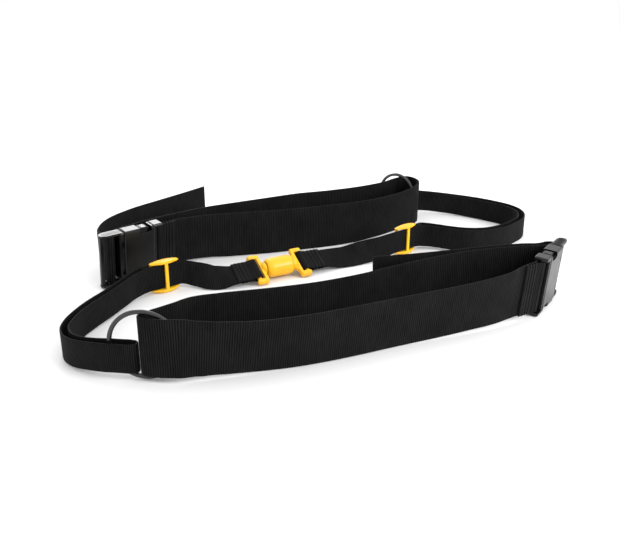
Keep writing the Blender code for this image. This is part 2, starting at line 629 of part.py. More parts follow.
FRONT_LEASH_ROUTES = {
    "out": [(-108, -27, 0.3, -36), (-125, -21.5, 2.4, -12)],
    "main": [(-186, -33, 3.4, 0), (-199, -48, 2.8, 0), (-214, -65, 1.8, 0), (-232, -84, 0.8, 0),
             (-243, -98, 0.4, 0), (-250.5, -112, 0.3, 0), (-255, -126, 0.5, 0), (-254.5, -138, 1.1, 0),
             (-250, -149.5, 2.1, 0), (-243, -158.5, 3.4, 0), (-235, -166, 4.8, 0)],
    "ring": in_frame(front_low, [(-28, 4.6), (-20, 4.6), (-11, 4.5), (-6.6, 3.1), (-5.3, 0), (-6.6, -3.1),
                                 (-11, -4.5), (-20, -4.6), (-28, -4.6)]),
    "return": [(-238, -174.5, 5.2, 0), (-246, -166, 3.8, 0), (-254, -156, 2.3, 0), (-260, -143, 1.1, 0),
               (-261.5, -128, 0.5, 0), (-257, -111, 0.3, 0), (-249, -96, 0.4, 0), (-238, -81, 0.9, 0),
               (-219, -61, 1.8, 0), (-203, -43, 2.8, 0), (-191, -29.5, 3.4, 0)],
}
front_slider_world = frame(FRONT_SLIDER[0], FRONT_SLIDER[1], SLIDER_HEIGHT, FRONT_SLIDER[2])
leash("front", COUPLER_WORLD, -1, FRONT_LOOP_X, front_slider_world, 1, FRONT_LEASH_ROUTES, RELEASE, SURFACES)

REAR_LEASH_ROUTES = {
    "out": [(36, -11.5, 0.3, -48), (58, -13, 0.8, -26), (80, -12.5, 2.6, -8)],
    "main": [(142, 3.5, 3.7, 0), (153, -4, 3.2, 0), (166, -14.5, 2.5, 0), (182, -24, 1.7, 0),
             (202, -27, 0.9, 0), (226, -23, 0.3, 0), (250, -12, 0.3, 0), (268, 0, 0.3, 0),
             (279, 14, 0.3, 0), (285, 32, 0.3, 0), (284, 50, 0.3, 0), (276, 70, 0.3, 0), (262, 90, 0.8, 0),
             (240, 111, 1.8, 0), (215, 129, 3.2, 0), (195, 139, 4.4, 0), (176, 147, 5.4, 0)],
    "ring": in_frame(rear_low, [(-31, 13), (-34, 5.5), (-33.5, 0), (-31, -3.6), (-24, -5), (-14, -5.2),
                                (-6, -4.4), (-2.4, -2.2), (-1.6, 0), (-1.7, 3), (-2.6, 8)]),
    "return": [(180, 127, 5.2, 0), (200, 129.5, 4.2, 0), (225, 116.5, 2.4, 0), (250, 92, 0.9, 0),
               (267, 66, 0.3, 0), (276.5, 46, 0.3, 0), (276.5, 27, 0.3, 0), (268, 10, 0.3, 0),
               (251, -3, 0.3, 0), (227, -14, 0.4, 0), (203, -18.5, 1.0, 0), (185, -15, 1.8, 0),
               (170, -6.5, 2.5, 0), (157, 4, 3.2, 0), (148, 10.5, 3.7, 0)],
}
rear_slider_world = frame(REAR_SLIDER[0], REAR_SLIDER[1], SLIDER_HEIGHT, REAR_SLIDER[2])
leash("rear", COUPLER_WORLD, 1, REAR_LOOP_X, rear_slider_world, -1, REAR_LEASH_ROUTES, ROOT, SURFACES)
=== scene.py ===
# %% [markdown]
# # Partner agility belt: two webbing waist belts on a leash with a breakaway coupler
# The solids of the part arrive as a fixed frame. Every piece made here lies on those solids and gets the surface
# that the real piece has, and all but the back stretch of each belt and the returning stretch of each leash move
# with one of their bodies. Lengths are metres, +Z is up and -Y is the front.

# %% Load the frame
import json
import math

import bmesh
import bpy
import numpy as np
from mathutils import Matrix, Vector, geometry


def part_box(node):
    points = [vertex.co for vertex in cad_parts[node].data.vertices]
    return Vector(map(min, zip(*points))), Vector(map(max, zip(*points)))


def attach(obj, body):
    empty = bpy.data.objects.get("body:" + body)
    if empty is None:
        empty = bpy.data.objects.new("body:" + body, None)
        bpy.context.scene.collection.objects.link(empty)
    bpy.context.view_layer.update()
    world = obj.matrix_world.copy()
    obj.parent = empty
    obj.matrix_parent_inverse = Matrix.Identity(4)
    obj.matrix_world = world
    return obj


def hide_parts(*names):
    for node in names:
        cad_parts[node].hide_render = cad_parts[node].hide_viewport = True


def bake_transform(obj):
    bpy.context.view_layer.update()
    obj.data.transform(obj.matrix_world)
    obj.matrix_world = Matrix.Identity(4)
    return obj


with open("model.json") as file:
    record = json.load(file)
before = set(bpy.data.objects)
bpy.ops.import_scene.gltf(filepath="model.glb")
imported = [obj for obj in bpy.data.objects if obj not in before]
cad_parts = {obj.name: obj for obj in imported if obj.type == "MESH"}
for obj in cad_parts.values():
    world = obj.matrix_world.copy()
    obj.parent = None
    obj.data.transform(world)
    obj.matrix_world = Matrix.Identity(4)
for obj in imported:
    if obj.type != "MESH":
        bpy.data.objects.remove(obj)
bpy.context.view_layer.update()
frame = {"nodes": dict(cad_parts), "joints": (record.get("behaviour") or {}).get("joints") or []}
nodes = frame["nodes"]
joints = {joint["name"]: joint for joint in frame["joints"]}

# %% [markdown]
# ## Camera
# The photograph looks 22 degrees down, from in front and a little to the left, with a mild telephoto lens. The
# camera's place was solved from the height of the bands on the floor, so the straps land where the photograph has
# them.

# %% Camera
MM = 0.001
CAMERA_PLACE = (-0.2795, -0.7180, 0.3020)
CAMERA_DOWN = 22.0
CAMERA_TURN = 20.0
LENS = 45.58

camera = bpy.data.objects.new("camera", bpy.data.cameras.new("camera"))
bpy.context.scene.collection.objects.link(camera)
camera.data.lens = LENS
camera.data.sensor_width = 36.0
camera.data.clip_start = 0.01
camera.location = CAMERA_PLACE
camera.rotation_euler = (math.radians(90 - CAMERA_DOWN), 0, math.radians(-CAMERA_TURN))
bpy.context.scene.camera = camera
print("camera", [round(v, 3) for v in camera.location], "lens", LENS)

# %% [markdown]
# ## Colours and nodes
# Hex values are what a colour picker shows, and shaders want linear light, so one function turns them round.
# Another adds a node with its settings and its links, which keeps each material short enough to read.

# %% Helpers for materials


def linear(colour):
    """Linear RGBA from an sRGB hex colour."""
    channels = [int(colour[i:i + 2], 16) / 255 for i in (0, 2, 4)]
    return (*(c / 12.92 if c < 0.04045 else ((c + 0.055) / 1.055) ** 2.4 for c in channels), 1.0)


def add_node(tree, kind, settings=None, **inputs):
    """A node of a kind, with its settings, and its inputs set to values or linked to sockets."""
    node = tree.nodes.new(kind)
    for name, value in (settings or {}).items():
        setattr(node, name, value)
    for name, value in inputs.items():
        socket = node.inputs[int(name[1:])] if name[0] == "i" and name[1:].isdigit() else node.inputs[
            name.replace("_", " ")]
        if isinstance(value, bpy.types.NodeSocket):
            tree.links.new(value, socket)
        else:
            socket.default_value = value
    return node


def new_material(name, base, roughness, **sockets):
    """A material with its Principled shader, and that shader's fixed values set on its own sockets."""
    made = bpy.data.materials.new(name)
    made.use_nodes = True
    shader = made.node_tree.nodes["Principled BSDF"]
    shader.inputs["Base Color"].default_value = linear(base)
    shader.inputs["Roughness"].default_value = roughness
    for socket, value in sockets.items():
        shader.inputs[socket.replace("_", " ")].default_value = value
    return made, made.node_tree, shader


def math_node(tree, operation, a, b=0.0):
    """The result of one sum on two values or sockets."""
    return add_node(tree, "ShaderNodeMath", {"operation": operation}, i0=a, i1=b).outputs[0]


def two_tones(tree, value, dark_at, dark, light_at, light):
    """A colour between two sRGB hex tones, each reached at its own value."""
    ramp = add_node(tree, "ShaderNodeValToRGB", Fac=value)
    ends = ramp.color_ramp.elements
    ends[0].position, ends[0].color = dark_at, linear(dark)
    ends[1].position, ends[1].color = light_at, linear(light)
    return ramp.outputs["Color"]


print("mid grey in linear light", round(linear("808080")[0], 3))


# %% [markdown]
# ## Studio
# The photograph is a packshot on white. A large pale floor and an even white world give the same bright ground.
# Three soft area lights shape the black pieces: one above, one in front at the right, which brightens the front
# band, and one low behind, which puts the pale sheen on every top edge.

# %% Floor, world and lights
FLOOR_SIZE = 40.0
WORLD_STRENGTH = 1.2
LIGHTS_AIM = Vector((0, 0, 0.03))

floor_material = new_material("studio_paper", "eaeaea", 0.9)[0]
floor_mesh = bpy.data.meshes.new("floor")
floor_mesh.from_pydata([(-1, -1, 0), (1, -1, 0), (1, 1, 0), (-1, 1, 0)], [], [(0, 1, 2, 3)])
floor_mesh.transform(Matrix.Scale(FLOOR_SIZE / 2, 4))
floor_mesh.materials.append(floor_material)
floor = bpy.data.objects.new("floor", floor_mesh)
bpy.context.scene.collection.objects.link(floor)

world = bpy.data.worlds.new("studio")
bpy.context.scene.world = world
world.use_nodes = True
world.node_tree.nodes["Background"].inputs["Color"].default_value = (1.0, 1.0, 1.0, 1.0)
world.node_tree.nodes["Background"].inputs["Strength"].default_value = WORLD_STRENGTH
bpy.context.scene.view_settings.view_transform = "Standard"


def softbox(name, place, size, power):
    """A square area light that faces the middle of the object."""
    light = bpy.data.lights.new(name, "AREA")
    light.size = size
    light.energy = power
    lamp = bpy.data.objects.new(name, light)
    bpy.context.scene.collection.objects.link(lamp)
    lamp.location = place
    lamp.rotation_euler = (LIGHTS_AIM - Vector(place)).to_track_quat("-Z", "Y").to_euler()
    print(name, place, power, "W")


softbox("softbox_above", (0.0, 0.1, 1.6), 1.2, 3.0)
softbox("softbox_front", (0.75, -0.95, 0.6), 0.7, 15.0)
softbox("softbox_behind", (0.1, 2.5, 1.1), 1.2, 38.0)

# %% [markdown]
# ## Webbing
# Polyester webbing is woven flat: thick weft picks cross the tape and lift it into ribs, and fine warp threads run
# along it over the ribs in turn. The ribs are real relief in the mesh, and the warp is a bump on the strap's own
# UV map, whose U is metres along the tape and V is metres across it. Black yarn scatters a trace of light off its
# fibres, so the shader has a trace of sheen, and the colour wanders a little along the length as on a real roll.

# %% Webbing material
WARP_THREAD = 0.0011
WEAVE_BUMP = 0.0003
ROLL_CLOUD = 0.03               # size of the slow changes of tone
PICKS_PER_RIB, STREAKS_PER_METRE = 0.9, 60.0


def webbing_material(name, pitch):
    """Black woven tape with its ribs at a pitch in metres."""
    made, tree, shader = new_material(name, "101011", 0.55, Sheen_Weight=0.02, Sheen_Roughness=0.4,
                                      Specular_IOR_Level=0.04)
    place = add_node(tree, "ShaderNodeUVMap", {"uv_map": "web"}).outputs["UV"]
    split = add_node(tree, "ShaderNodeSeparateXYZ", Vector=place)
    along, across = split.outputs["X"], split.outputs["Y"]
    turns = math_node(tree, "MULTIPLY", along, 1 / pitch)
    rib = math_node(tree, "COSINE", math_node(tree, "MULTIPLY", turns, 2 * math.pi))
    half_turns = math_node(tree, "MULTIPLY", turns, math.pi)
    threads = math_node(tree, "MULTIPLY", across, math.pi / WARP_THREAD)
    warp = math_node(tree, "MULTIPLY", math_node(tree, "SINE", threads), math_node(tree, "SINE", half_turns))
    height = math_node(tree, "ADD", math_node(tree, "ABSOLUTE", warp), math_node(tree, "MULTIPLY", rib, 0.35))
    bump = add_node(tree, "ShaderNodeBump", Strength=0.5, Distance=WEAVE_BUMP, Height=height)
    tree.links.new(bump.outputs["Normal"], shader.inputs["Normal"])
    cloud = add_node(tree, "ShaderNodeTexNoise", Vector=place, Scale=1 / ROLL_CLOUD, Detail=4.0)
    streak = add_node(tree, "ShaderNodeCombineXYZ", X=math_node(tree, "MULTIPLY", turns, PICKS_PER_RIB),
                      Y=math_node(tree, "MULTIPLY", across, STREAKS_PER_METRE))
    picks = add_node(tree, "ShaderNodeTexNoise", Vector=streak.outputs[0], Scale=1.0, Detail=2.0)
    tone = math_node(tree, "ADD", math_node(tree, "MULTIPLY", cloud.outputs["Fac"], 0.5),
                     math_node(tree, "MULTIPLY", picks.outputs["Fac"], 0.5))
    # The crest of each rib is painted lighter than its trough. This is a painted highlight on the ribs, added on top
    # of the random tone.
    tone = math_node(tree, "ADD", tone, math_node(tree, "MULTIPLY", rib, 0.32))
    tree.links.new(two_tones(tree, tone, 0.2, "040404", 0.85, "1d1d1e"), shader.inputs["Base Color"])
    return made


BELT_RIB = 0.0019
LEASH_RIB = 0.0016
belt_webbing = webbing_material("woven_polyester_belt", BELT_RIB)
leash_webbing = webbing_material("woven_polyester_leash", LEASH_RIB)
print("ribs in 10 mm of belt", round(0.01 / BELT_RIB, 1), "and of leash", round(0.01 / LEASH_RIB, 1))

# %% [markdown]
# ## Moulded plastic and coated steel
# The buckles are black acetal, moulded in a satin tool: dark, smooth, with a very fine texture that breaks up the
# reflections. Sliders and coupler are the same kind of plastic in yellow, a little less glossy, and light enters
# it, so it has a touch of subsurface. The rings are steel wire dipped in black, the pin and the snap collar are
# plain turned steel, and the sewing is bonded thread.

# %% Plastic and metal materials
FLOW_SIZE = 0.012               # size of the slow changes of tone in a moulding
TURNING_MARKS = 900.0           # turning marks on the pin, per metre


def moulded(name, base, dark, roughness, grain, bump_height, **sockets):
    """Moulded plastic: a fine tool texture in metres, and a slow change of tone."""
    made, tree, shader = new_material(name, base, roughness, **sockets)
    place = add_node(tree, "ShaderNodeTexCoord").outputs["Object"]
    fine = add_node(tree, "ShaderNodeTexNoise", Vector=place, Scale=1 / grain, Detail=3.0)
    bump = add_node(tree, "ShaderNodeBump", Strength=0.25, Distance=bump_height, Height=fine.outputs["Fac"])
    tree.links.new(bump.outputs["Normal"], shader.inputs["Normal"])
    slow = add_node(tree, "ShaderNodeTexNoise", Vector=place, Scale=1 / FLOW_SIZE, Detail=2.0)
    tree.links.new(two_tones(tree, slow.outputs["Fac"], 0.3, dark, 0.7, base), shader.inputs["Base Color"])
    gloss = add_node(tree, "ShaderNodeMapRange", Value=slow.outputs["Fac"])
    gloss.inputs["To Min"].default_value = roughness - 0.05
    gloss.inputs["To Max"].default_value = roughness + 0.06
    tree.links.new(gloss.outputs["Result"], shader.inputs["Roughness"])
    return made


black_acetal = moulded("black_acetal", "0d0d0e", "080809", 0.3, 0.0005, 0.00006, Specular_IOR_Level=0.34)
yellow_acetal = moulded("yellow_acetal", "f2b808", "eaab07", 0.38, 0.0007, 0.00004, Subsurface_Weight=0.08,
                        Subsurface_Scale=0.002)
coated_wire = moulded("black_coated_wire", "121214", "0b0b0c", 0.28, 0.0009, 0.00005, Coat_Weight=0.3)
thread = moulded("bonded_thread", "141416", "0d0d0f", 0.5, 0.0003, 0.00005, Sheen_Weight=0.1, Specular_IOR_Level=0.2)


def turned_steel():
    """Plain steel with fine turning marks."""
    made, tree, shader = new_material("turned_steel", "9c9ea1", 0.3, Metallic=1.0)
    place = add_node(tree, "ShaderNodeTexCoord").outputs["Object"]
    marks = add_node(tree, "ShaderNodeTexNoise", Vector=place, Scale=TURNING_MARKS, Detail=2.0)
    bump = add_node(tree, "ShaderNodeBump", Strength=0.2, Distance=0.00004, Height=marks.outputs["Fac"])
    tree.links.new(bump.outputs["Normal"], shader.inputs["Normal"])
    return made


steel = turned_steel()
print("materials", sorted(made.name for made in bpy.data.materials if made.use_nodes))

# %% [markdown]
# ## Straps: the paths
# Each strap keeps the route of its solid. A station is a point on the strap's middle and the direction of its
# width. Where a strap stands on edge its stations are given as plan x, plan y, lift off the floor and lean; inside
# a buckle, a slider or a ring they are given in that piece's own frame, which is read from the joints.

# %% Strap sizes and frames of the hard pieces
PLAN_CENTRE = (11.5, -24.0)
GAP = 0.0003                    # air kept between a strap and its bar
BELT_WIDTH, BELT_THICK = 0.050, 0.0018
LEASH_WIDTH, LEASH_THICK = 0.025, 0.0016
BAR_RADIUS = 0.002              # the buckles' round bars
WEB_BAR_X, MIDDLE_BAR_X = 0.0022, 0.0560
PRONG_ROOT_X = 0.0443
WEB_TURN = {"front": -19.0, "rear": 4.0}    # how far each sewn end turns on its web bar, in degrees
LOOP_BAR_X, LOOP_BAR_RADIUS = {"front": 0.0258, "rear": 0.0280}, 0.0023
SLIDER_END_BAR, SLIDER_BAR = (0.0128, -0.0034), (0.0036, 0.0022)
LEASH_AT_RING = 0.0188          # height of the leash's middle where it passes a ring
SEWN_BELT, SEWN_LEASH = 0.0215, 0.0230      # length of each sewn fold


def frame_at(origin, x_way, y_way):
    """A frame from its origin and the directions of its x and y axes."""
    x_way, y_way = Vector(x_way).normalized(), Vector(y_way).normalized()
    axes = Matrix((x_way, y_way, x_way.cross(y_way))).transposed().to_4x4()
    return Matrix.Translation(origin) @ axes


def buckle_frame(prefix):
    """A buckle's frame: x out of the socket, z up across the strap, from its release and its prongs."""
    slide = Vector(joints[prefix + "_buckle_release"]["axis"])
    upper, lower = joints[prefix + "_prong_upper_press"], joints[prefix + "_prong_lower_press"]
    root = (Vector(upper["pos_m"]) + Vector(lower["pos_m"])) / 2
    return frame_at(root - slide * PRONG_ROOT_X, slide, upper["axis"])


def ring_frame(prefix):
    """A ring's frame: y along the ring's axis, z up."""
    ring_joint = joints[prefix + "_ring_turn"]
    y_way = Vector(ring_joint["axis"])
    return frame_at(Vector(ring_joint["pos_m"]), y_way.cross(Vector((0, 0, 1))), y_way)


SLIDER_AT = {"front": (-0.1675, 0.005, 0.0168), "rear": (0.1045, 0.024, 0.0168)}
COUPLER_LEAN = -62.0            # turn of the cross bars about the coupler's axis, in degrees


def slider_frame(prefix):
    """A slider's frame: x along its slide, z up; its y is level."""
    x_way = Vector(joints[prefix + "_slider_slide"]["axis"])
    return frame_at(SLIDER_AT[prefix], x_way, Vector((0, 0, 1)).cross(x_way))


spin = joints["barrel_spin"]
flat = frame_at(Vector(spin["pos_m"]), spin["axis"], Vector((0, 0, 1)).cross(Vector(spin["axis"])))
coupler_frame = flat @ Matrix.Rotation(math.radians(COUPLER_LEAN), 4, "X")
print("coupler at", [round(v, 4) for v in coupler_frame.translation])

# %% [markdown]
# Stations are easier to read off a photograph in plan, and easier to fit inside a slider in the slider's own frame.
# So there are two ways to write them, and both give the same kind of list.

# %% Stations


def on_edge(points, width, thick):
    """Stations of a strap on edge, from (x mm, y mm, lift mm, lean): a lean tips its top to the front."""
    stations = []
    for x, y, lift, lean in points:
        angle = math.radians(lean)
        height = lift * MM + width / 2 * math.cos(angle) + thick / 2 * abs(math.sin(angle))
        at = Vector(((x - PLAN_CENTRE[0]) * MM, (y - PLAN_CENTRE[1]) * MM, height))
        stations.append((at, Vector((0, -math.sin(angle), math.cos(angle)))))
    return stations


def in_frame(place, points):
    """Stations of a strap in a frame, from (x mm, y mm), with its width along the frame's z."""
    up = place.to_3x3() @ Vector((0, 0, 1))
    return [(place @ Vector((x * MM, y * MM, 0)), up) for x, y in points]


print("a belt on its edge has its middle", round(on_edge([(0, 0, 0, 0)], BELT_WIDTH, BELT_THICK)[0][0].z, 3), "m up")

# %% [markdown]
# The stations become a smooth path by Bezier spans whose handles are a third of each span, as a strip of tape
# bends, and the path is then sampled at equal steps so that the ribs keep their pitch.

# %% Smooth paths


def smooth_path(stations, pieces=24):
    """Dense samples of a smooth path: places, width directions, lengths, and the length at each station."""
    places = [at for at, up in stations]
    ways = []
    for i, at in enumerate(places):
        before = at - places[i - 1] if i else places[1] - at
        after = places[i + 1] - at if i + 1 < len(places) else before
        ways.append((before.normalized() * after.length + after.normalized() * before.length).normalized())
    points, ups = [], []
    for i in range(len(places) - 1):
        reach = (places[i + 1] - places[i]).length / 3
        span = geometry.interpolate_bezier(places[i], places[i] + ways[i] * reach,
                                           places[i + 1] - ways[i + 1] * reach, places[i + 1], pieces + 1)
        for k, at in enumerate(span[:-1]):
            t = k / pieces
            points.append(at)
            ups.append(stations[i][1].lerp(stations[i + 1][1], t * t * (3 - 2 * t)))
    points.append(places[-1])
    ups.append(stations[-1][1])
    points, ups = np.array(points), np.array(ups)
    steps = np.linalg.norm(np.diff(points, axis=0), axis=1)
    lengths = np.concatenate([[0.0], np.cumsum(steps)])
    return {"at": points, "up": ups, "s": lengths, "station_s": lengths[::pieces]}


def along_path(path, key, s):
    """Values of one kind, "at" or "up", at lengths s of a path."""
    return np.stack([np.interp(s, path["s"], path[key][:, k]) for k in range(3)], axis=1)


TANGENT_REACH = 0.0004


def sample(path, s):
    """Places, tangents, width directions and normals of a path at lengths s."""
    at, up = along_path(path, "at", s), along_path(path, "up", s)
    along = along_path(path, "at", s + TANGENT_REACH) - along_path(path, "at", s - TANGENT_REACH)
    along /= np.linalg.norm(along, axis=1, keepdims=True)
    up -= along * np.sum(up * along, axis=1, keepdims=True)
    up /= np.linalg.norm(up, axis=1, keepdims=True)
    return at, along, up, np.cross(along, up)


trial = smooth_path(on_edge([(0, 0, 0, 0), (50, 20, 0, 0), (100, 0, 0, 0)], LEASH_WIDTH, LEASH_THICK))
print("a trial path is", round(trial["s"][-1] * 1000, 1), "mm long")


# %% [markdown]
# ## Rows become pieces
# Straps, slider rails and the barrel are all the same kind of form: a closed row of points that changes along the
# piece. One function skins such rows with faces. Another turns the result into an object whose faces look out,
# which is smooth except at its sharp edges.

# %% Skin and finished piece


def skin(rows, wrap=False):
    """Vertices and faces over rows of points, each row a closed loop; the ends are filled, or joined to wrap."""
    count, around = rows.shape[0], rows.shape[1]
    corners = np.arange(count * around).reshape(count, around)
    near, far = (corners, np.roll(corners, -1, axis=0)) if wrap else (corners[:-1], corners[1:])
    quads = np.stack([near, far, np.roll(far, -1, axis=1), np.roll(near, -1, axis=1)], axis=2).reshape(-1, 4)
    faces = quads.tolist()
    if not wrap:
        faces += [corners[0, ::-1].tolist(), corners[-1].tolist()]
    return rows.reshape(-1, 3).tolist(), faces


def finished(name, points, faces, surface, slot, sharp):
    """An object from points and faces: faces out, smooth but for its sharp edges, with its surface; slot is not used.
    """
    mesh = bpy.data.meshes.new(name)
    mesh.from_pydata(points, [], faces)
    mesh.materials.append(surface)
    fix = bmesh.new()
    fix.from_mesh(mesh)
    bmesh.ops.recalc_face_normals(fix, faces=fix.faces)
    fix.to_mesh(mesh)
    fix.free()
    mesh.shade_smooth()
    mesh.set_sharp_from_angle(angle=math.radians(sharp))
    piece = bpy.data.objects.new(name, mesh)
    bpy.context.scene.collection.objects.link(piece)
    return piece


square = np.array([[(x, y, z) for y, z in ((0, 0), (0, 1), (1, 1), (1, 0))] for x in (0, 1)])
print("a skinned cube has", len(skin(square)[1]), "faces")

# %% [markdown]
# ## Straps: the tape
# The tape's section is a flat bar with round edges. It is swept along the path in rows, six to a rib, and each
# row is a little thinner between the ribs. Where a fold is sewn the outer layer puckers up between the rows of
# stitches, which is one more offset of the same rows.

# %% The tape
RIB_RELIEF = 0.00018
EDGE_RELIEF = 0.00010
ROWS_PER_RIB = 6


def tape_profile(width, thick):
    """Points (across, out) round the section: two flat faces and two round edges."""
    half, thin = width / 2, thick / 2
    flat_half = half - thin
    faces = [flat_half * k / 3 for k in range(-3, 4)]
    turn = [math.radians(a) for a in (60, 30, 0, -30, -60)]
    points = [(v, thin) for v in faces]
    points += [(flat_half + thin * math.cos(a), thin * math.sin(a)) for a in turn]
    points += [(v, -thin) for v in reversed(faces)]
    points += [(-flat_half - thin * math.cos(a), -thin * math.sin(a)) for a in turn]
    return np.array(points)


def tape(name, path, start, end, width, thick, pitch, surface, body, pucker=None):
    """A stretch of webbing between two lengths of a path, with ribs, UVs and closed ends."""
    count = max(8, int((end - start) / pitch * ROWS_PER_RIB))
    s = np.linspace(start, end, count + 1)
    at, along, up, out = sample(path, s)
    profile = tape_profile(width, thick)
    hollow = 0.5 - 0.5 * np.cos(2 * np.pi * s / pitch)
    across = profile[None, :, 0] - np.sign(profile[None, :, 0]) * EDGE_RELIEF * hollow[:, None] * (
        np.abs(profile[None, :, 0]) > width / 2 - thick)
    lift = profile[None, :, 1] - np.sign(profile[None, :, 1]) * RIB_RELIEF * hollow[:, None]
    if pucker is not None:
        lift = lift + pucker(s)[:, None]
    rows = at[:, None, :] + up[:, None, :] * across[:, :, None] + out[:, None, :] * lift[:, :, None]
    piece = finished(name, *skin(rows), surface, "webbing", 50)
    mesh = piece.data
    layer = mesh.uv_layers.new(name="web")
    u = np.repeat(s, len(profile))
    v = np.tile(profile[:, 0] + profile[:, 1], count + 1)
    loops = np.zeros(len(mesh.loops), dtype=np.int32)
    mesh.loops.foreach_get("vertex_index", loops)
    layer.data.foreach_set("uv", np.stack([u[loops], v[loops]], axis=1).ravel())
    if isinstance(body, str):
        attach(piece, body)
    else:
        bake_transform(piece)
    return piece


print("points round the belt's section", len(tape_profile(BELT_WIDTH, BELT_THICK)))


# %% [markdown]
# ## Straps: the routes
# A sewn end folds round a bar and lies back on itself. A ladder is woven over its middle bar. The free end of the
# leash loops round one end bar of its slider. These three are the same on every strap, so each is a function.

# %% Folds, weave and loop


def fold(bar_radius, thick, sewn, away, side):
    """Points in mm, from a bar's middle, of a strap end folded round it; the cut end lies on the given side."""
    radius = (bar_radius + GAP + thick / 2) / MM
    apart = (thick + GAP) / 2 / MM
    sewn = sewn / MM
    half = [(away * sewn, apart), (away * sewn * 0.62, apart), (away * radius * 2.7, apart * 1.1),
            (away * radius * 1.55, radius * 0.62)]
    turns = [math.radians(a) for a in range(125, -126, -25)]
    arc = [(-away * radius * math.cos(a), radius * math.sin(a)) for a in turns]
    back = [(x, -y) for x, y in reversed(half)]
    return [(x, side * y) for x, y in half + arc + back]


FOLD_MIDDLE = 9                 # the station of a fold that lies on its bar's far side


def ladder_weave(inner):
    """Points in mm, from the ladder's middle bar, of a belt that comes in, goes over the bar and out again."""
    radius = (BAR_RADIUS + GAP + BELT_THICK / 2) / MM
    arrive = [(-10.5, 10.6), (-6.2, 6.8), (-3.9, 3.2)]
    over = [(radius * math.cos(math.radians(a)), radius * math.sin(math.radians(a))) for a in range(180, 361, 30)]
    return [(x, inner * y) for x, y in arrive + over]


def slider_loop(loop_side):
    """Points in mm of the strap end round a slider's end bar, arriving behind and ending in front."""
    bar_x, bar_y = (value / MM for value in SLIDER_END_BAR)
    half_x, half_y = (value / MM / 2 for value in SLIDER_BAR)
    off = (GAP + LEASH_THICK / 2) / MM
    behind, front, turn = bar_y - half_y - off, bar_y + half_y + off, bar_x - half_x - off
    points = [(27.0, -4.2), (20.0, -4.6), (bar_x + 1.2, behind), (bar_x - 0.6, behind), (turn + 0.55, bar_y - 1.65),
              (turn, bar_y), (turn + 0.55, bar_y + 1.65), (bar_x - 0.6, front), (bar_x + 2.2, front),
              (20.0, front - 0.05), (25.0, front - 0.1)]
    return [(loop_side * x, y) for x, y in points]


# %% [markdown]
# ## The belts
# Each belt is one tape in three stretches, because the buckle comes apart: the front band with its sewn fold and
# its fold at the ring stays with the belt, the tail with the weave goes with the plug, and the back band between
# them stays where it is, on neither body.

# %% Belt routes
front_ring, rear_ring = ring_frame("front"), ring_frame("rear")
BELT_ROUTES = {
    "front": {
        "front": [(112, -204, 4.0, 8), (70, -209, 2.4, 10), (35, -210.5, 1.2, 10), (0, -212, 0.4, 10),
                  (-41, -215.5, 0.3, 10), (-84, -217.5, 0.5, 11), (-124, -216, 1.8, 12), (-150, -213, 3.2, 10),
                  (-165, -210.5, 4.0, 6)],
        "ring": [(30, -4.4), (20, -5.6), (10, -5.9), (3, -5.3), (-1.6, -3.3), (-2.9, 0), (-2, 3.6), (1, 7.5),
                 (6, 13), (16, 24.5)],
        "back": [(-161, -167, 4.3, 0), (-136, -164.5, 3.4, 0), (-100, -163.5, 1.6, 0), (-48, -162, 0.3, 0),
                 (-10, -158, 0.3, 0), (30, -150.5, 0.8, 0), (64, -146.5, 1.8, 0), (110, -146, 3.6, 0),
                 (148, -150.5, 4.5, 2)],
        "turn": [(3.7, 3.5), (2.9, 8.2), (-1.1, 12.6), (-8.0, 15.6)],
        "tail": [(160, -146.5, 4.5, 2), (130, -140.5, 3.5, 0), (89, -134, 2.0, 0), (50, -127.5, 0.8, 0),
                 (20, -122, 0.3, 0)],
    },
    "rear": {
        "front": [(-119, 47, 4.3, 7), (-97, 50.5, 3.4, 5), (-72, 50.5, 2.2, 1), (-30, 49, 0.9, 1),
                  (8, 48.5, 0.3, 3), (45, 48.5, 0.3, 2), (75, 50.5, 0.3, 4), (105, 56.5, 0.9, 8),
                  (135, 66, 2.0, 10), (157, 74.5, 3.2, 7), (170.5, 83, 4.0, 3), (177.8, 94, 4.4, 0),
                  (179.2, 107, 4.6, 0), (175.5, 117.5, 4.6, 0)],
        "ring": [(0.9, 7.5), (1, 0), (1, -9)],
        "back": [(139, 106.5, 4.2, 0), (112, 101.5, 3.0, 0), (65, 102.5, 1.0, 0), (24, 105, 0.3, 0),
                 (-12, 100, 0.3, 0), (-48, 93, 0.8, 0), (-92, 82, 2.1, 1), (-124, 69.5, 3.3, 4),
                 (-146, 59, 4.2, 6), (-162, 50.5, 4.8, 6), (-177, 41, 5.2, 6)],
        "turn": [(3.5, -3.5), (3.9, -8.5)],
        "tail": [(-212.5, 27, 5.4, 5), (-209.5, 44, 4.8, 3), (-198.5, 70, 3.4, 0), (-170, 104, 1.7, 0),
                 (-133, 132, 0.7, 0), (-101, 154, 0.3, 0), (-72, 174, 0.3, 0)],
    },
}
print("points in the routes", {prefix: sum(map(len, routes.values())) for prefix, routes in BELT_ROUTES.items()})

# %% [markdown]
# ## Seams
# Each fold is held by rows of stitches that go through both layers, so every row is found twice along the path.
# Between the rows each layer stands up a little, away from the other.

# %% Seams and puckers
PUCKER = 0.0007
ROWS_OF_STITCHES = 4
SEAM_START, SEAM_REACH = 0.0025, 0.62       # first row from the cut end, and last row as a share of the fold


def seam(path, sewn):
    """Lengths of the rows of stitches in both layers of a sewn fold."""
    near = np.linspace(SEAM_START, sewn * SEAM_REACH, ROWS_OF_STITCHES)
    return near, np.sort(2 * path["station_s"][FOLD_MIDDLE] - near)


def outer_side(path, bar):
    """Which side of the tape faces away from the bar of its fold: 1 or -1."""
    at, along, up, out = sample(path, path["station_s"][FOLD_MIDDLE:FOLD_MIDDLE + 1])
    return 1 if np.dot(at[0] - np.array(bar.translation), out[0]) > 0 else -1


